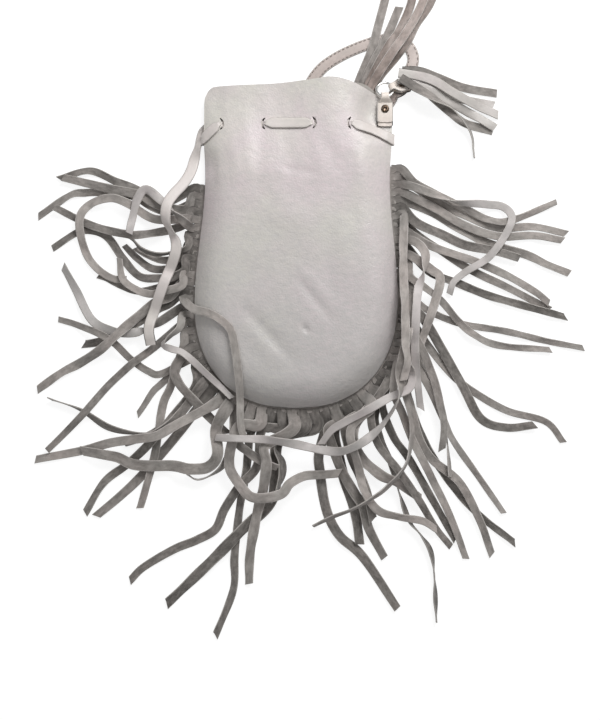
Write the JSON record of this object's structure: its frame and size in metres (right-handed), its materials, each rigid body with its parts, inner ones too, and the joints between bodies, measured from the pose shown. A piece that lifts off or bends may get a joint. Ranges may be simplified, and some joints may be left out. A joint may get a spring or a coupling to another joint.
{
  "type": "fringed leather drawstring pouch",
  "caption": "Flat pearly leather pouch with a round bottom, lace through slots at its neck, long suede fringe round the seam, tassels and a wrist strap clamped by riveted tabs on a small ring",
  "frame": {"origin": "on the flat underside of the pouch's back, below the middle of its body, 121.5 mm from the round bottom", "axes": "+Y from the round bottom to the mouth, +X to the pouch's right as seen from its front, +Z out of its front; the pouch lies on its back"},
  "size_m": [0.4141, 0.5156, 0.0238],
  "materials": {
    "pearl_leather": "soft bone leather with a pearly sheen",
    "suede": "taupe suede, matt, with a paler grain side",
    "lace_leather": "pearly flat lace",
    "tassel_leather": "soft leather strips, suede on one side",
    "tab_leather": "cream pearly leather",
    "strap_leather": "pinkish leather, stitched along both edges",
    "antique_brass": "darkened antique brass",
    "nickel": "bright nickel wire"
  },
  "bodies": {
    "pouch": {"front_panel": "pearl_leather", "back_panel": "pearl_leather", "fringe_left_upper": "suede", "fringe_left_lower": "suede", "fringe_bottom": "suede", "fringe_right_lower": "suede", "fringe_right_upper": "suede", "drawstring": "lace_leather", "tassel_1": "tassel_leather", "ring_tab": "tab_leather", "ring_tab_rivet": "antique_brass", "strap": "strap_leather", "tassel_2": "tassel_leather"},
    "ring": {"ring": "nickel"},
    "strap_tab": {"strap_tab": "tab_leather", "strap_tab_rivet": "antique_brass"}
  },
  "joints": [
    {"name": "ring_hinge", "type": "hinge", "parent": "pouch", "child": "ring", "pos_m": [0.0674, 0.1116, 0.01185], "axis": [1, 0, 0], "range_deg": [0, 100]},
    {"name": "strap_tab_hinge", "type": "hinge", "parent": "ring", "child": "strap_tab", "pos_m": [0.07348, 0.1186, 0.00812], "axis": [0.2588, -0.8529, 0.4535], "range_deg": [0, 60], "deforming": ["strap", "tassel_2"]}
  ]
}
